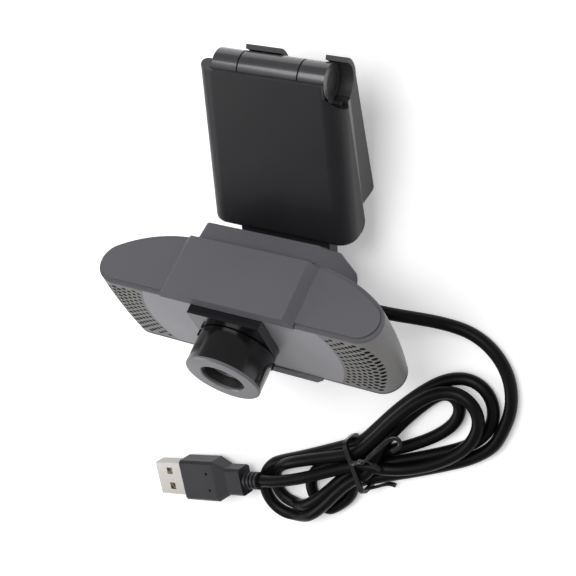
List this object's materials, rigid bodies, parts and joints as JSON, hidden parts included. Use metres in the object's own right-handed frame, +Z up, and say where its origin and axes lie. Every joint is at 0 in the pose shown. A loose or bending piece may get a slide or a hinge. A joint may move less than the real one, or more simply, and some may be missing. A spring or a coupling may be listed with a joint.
{
  "type": "clip-on webcam with a bundled lead",
  "caption": "Clip-on webcam: wide head with side grilles and a focusing barrel lens, folding monitor clip, and a tied lead ending in a flat plug.",
  "frame": {"origin": "on the table, under the middle of the webcam without its lead", "axes": "+X across the head, +Y from the lens side to the clip's hinge, +Z up from the table"},
  "size_m": [0.1292, 0.1692, 0.0571],
  "materials": {
    "plate_grey": "satin, light grey",
    "end_grey": "satin, warm grey",
    "cover_grey": "matte, fine texture",
    "inner_plastic": "matte black",
    "neck_plastic": "matte black",
    "cable_rubber": "satin black",
    "gloss_black": "gloss black",
    "bezel_grey": "satin grey",
    "hood_black": "matte black",
    "lens_glass": "clear, brown tint",
    "inner_metal": "plain",
    "chip_black": "matte",
    "board_green": "solder mask",
    "connector_white": "plain",
    "screw_steel": "plain",
    "pad_rubber": "matte",
    "grille_cloth": "black acoustic cloth",
    "cable_pvc": "semi-gloss black",
    "tie_plastic": "gloss black",
    "plug_steel": "nickel plated",
    "contact_brass": "gold plated",
    "plug_plastic": "matte black",
    "clip_black": "semi-matte black",
    "knuckle_black": "semi-gloss black",
    "leg_black": "semi-matte dark grey"
  },
  "bodies": {
    "head": {"front_plate": "plate_grey", "left_end_shell": "end_grey", "right_end_shell": "end_grey", "top_cover": "cover_grey", "bottom_cover": "cover_grey", "inner_frame": "inner_plastic", "rear_housing": "cover_grey", "tilt_neck": "neck_plastic", "cable_gland": "cable_rubber", "barrel_base": "gloss_black", "lens_holder": "inner_plastic", "ir_filter": "lens_glass", "image_sensor": "chip_black", "main_board": "board_green", "board_chips": "chip_black", "cable_connector": "connector_white", "board_screws": "screw_steel", "left_mic_boot": "pad_rubber", "right_mic_boot": "pad_rubber", "left_microphone": "inner_metal", "right_microphone": "inner_metal", "left_cloth": "grille_cloth", "right_cloth": "grille_cloth", "cable_lead": "cable_pvc", "cable_hank": "cable_pvc", "hank_tie": "tie_plastic", "plug_shell": "plug_steel", "plug_tongue": "connector_white", "plug_contacts": "contact_brass", "plug_body": "plug_plastic", "strain_relief": "plug_plastic"},
    "bracket": {"bracket_shell": "clip_black", "bracket_frame": "knuckle_black", "bracket_pad": "pad_rubber", "bracket_screws": "screw_steel", "hinge_pin": "screw_steel", "hinge_caps": "hood_black", "hinge_washers": "inner_plastic", "tilt_pin": "screw_steel", "tilt_washers": "inner_plastic"},
    "leg": {"leg_shell": "leg_black", "leg_frame": "knuckle_black", "leg_pad": "pad_rubber", "leg_screws": "screw_steel"},
    "focus_ring": {"focus_ring": "gloss_black", "lens_bezel": "bezel_grey", "lens_hood": "hood_black"},
    "lens_cell": {"lens_cell": "inner_plastic", "front_lens": "lens_glass", "middle_lens": "lens_glass", "rear_lens": "lens_glass", "lens_spacer": "inner_metal", "lens_retainer": "inner_metal"}
  },
  "joints": [
    {"name": "clip_tilt", "type": "hinge", "parent": "head", "child": "bracket", "pos_m": [0, 0.00067, 0.01348], "axis": [-1, 0, 0], "range_deg": [0, 80]},
    {"name": "leg_fold", "type": "hinge", "parent": "bracket", "child": "leg", "pos_m": [0, 0.04466, 0.02635], "axis": [1, 0, 0], "range_deg": [0, 90]},
    {"name": "focus_turn", "type": "hinge", "parent": "head", "child": "focus_ring", "pos_m": [0, -0.02719, 0.03138], "axis": [0, -0.6794, 0.7338], "range_deg": [0, 270]},
    {"name": "focus_slide", "type": "slide", "parent": "head", "child": "lens_cell", "axis": [0, -0.6794, 0.7338], "range_m": [0, 0.0005]}
  ],
  "couplings": [
    {"joint": "focus_slide", "follows": "focus_turn", "m_per_rad": 0.0001}
  ]
}
